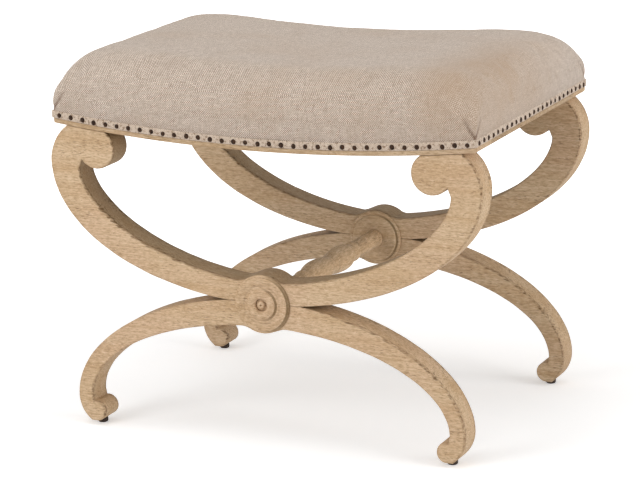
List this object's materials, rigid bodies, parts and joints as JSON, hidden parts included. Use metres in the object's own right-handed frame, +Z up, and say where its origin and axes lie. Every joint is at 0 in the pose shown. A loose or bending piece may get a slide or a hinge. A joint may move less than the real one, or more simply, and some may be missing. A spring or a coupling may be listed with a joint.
{
  "type": "x frame stool",
  "caption": "Upholstered bench stool: a linen cushion with nail head trim on scrolled X frames, joined at their crossings by a turned stretcher.",
  "frame": {"origin": "on the floor, under the middle of the stool", "axes": "+X along the long side of the seat, +Y from the front frame to the back frame, +Z up"},
  "size_m": [0.649, 0.449, 0.5371],
  "materials": {
    "oak": "pale limed oak with an open, weathered grain, matt",
    "inner_wood": "plain beech, unfinished",
    "linen": "natural linen in a plain weave with slubs",
    "nail": "antique bronze nail heads, dark and softly glossy",
    "screw": "zinc plated steel",
    "webbing": "jute webbing",
    "hessian": "open jute cloth",
    "padding": "foam and wadding",
    "dust_cloth": "thin black cloth",
    "glide": "dark felt and rubber, matt"
  },
  "bodies": {
    "root": {"front_upper_arc": "oak", "front_lower_arc": "oak", "front_rosette": "oak", "front_rosette_plug": "oak", "front_inner_boss": "oak", "front_hub_screw": "screw", "front_left_seam_dowel": "inner_wood", "front_right_seam_dowel": "inner_wood", "front_left_inner_arm_dowel": "inner_wood", "front_left_outer_arm_dowel": "inner_wood", "front_right_inner_arm_dowel": "inner_wood", "front_right_outer_arm_dowel": "inner_wood", "front_left_glide": "glide", "front_right_glide": "glide", "back_upper_arc": "oak", "back_lower_arc": "oak", "back_rosette": "oak", "back_rosette_plug": "oak", "back_inner_boss": "oak", "back_hub_screw": "screw", "back_left_seam_dowel": "inner_wood", "back_right_seam_dowel": "inner_wood", "back_left_inner_arm_dowel": "inner_wood", "back_left_outer_arm_dowel": "inner_wood", "back_right_inner_arm_dowel": "inner_wood", "back_right_outer_arm_dowel": "inner_wood", "back_left_glide": "glide", "back_right_glide": "glide", "stretcher": "oak", "front_rail": "oak", "back_rail": "oak", "left_rail": "oak", "right_rail": "oak", "front_left_corner_block": "inner_wood", "front_right_corner_block": "inner_wood", "back_left_corner_block": "inner_wood", "back_right_corner_block": "inner_wood", "front_left_block_screw": "screw", "front_right_block_screw": "screw", "back_left_block_screw": "screw", "back_right_block_screw": "screw", "web_strap_1": "webbing", "web_strap_2": "webbing", "web_strap_3": "webbing", "web_strap_4": "webbing", "web_strap_5": "webbing", "web_strap_6": "webbing", "hessian_sheet": "hessian", "foam_pad": "padding", "batting": "padding", "seat_cover": "linen", "front_trim_band": "linen", "back_trim_band": "linen", "left_trim_band": "linen", "right_trim_band": "linen", "dust_cover": "dust_cloth"}
  },
  "joints": []
}
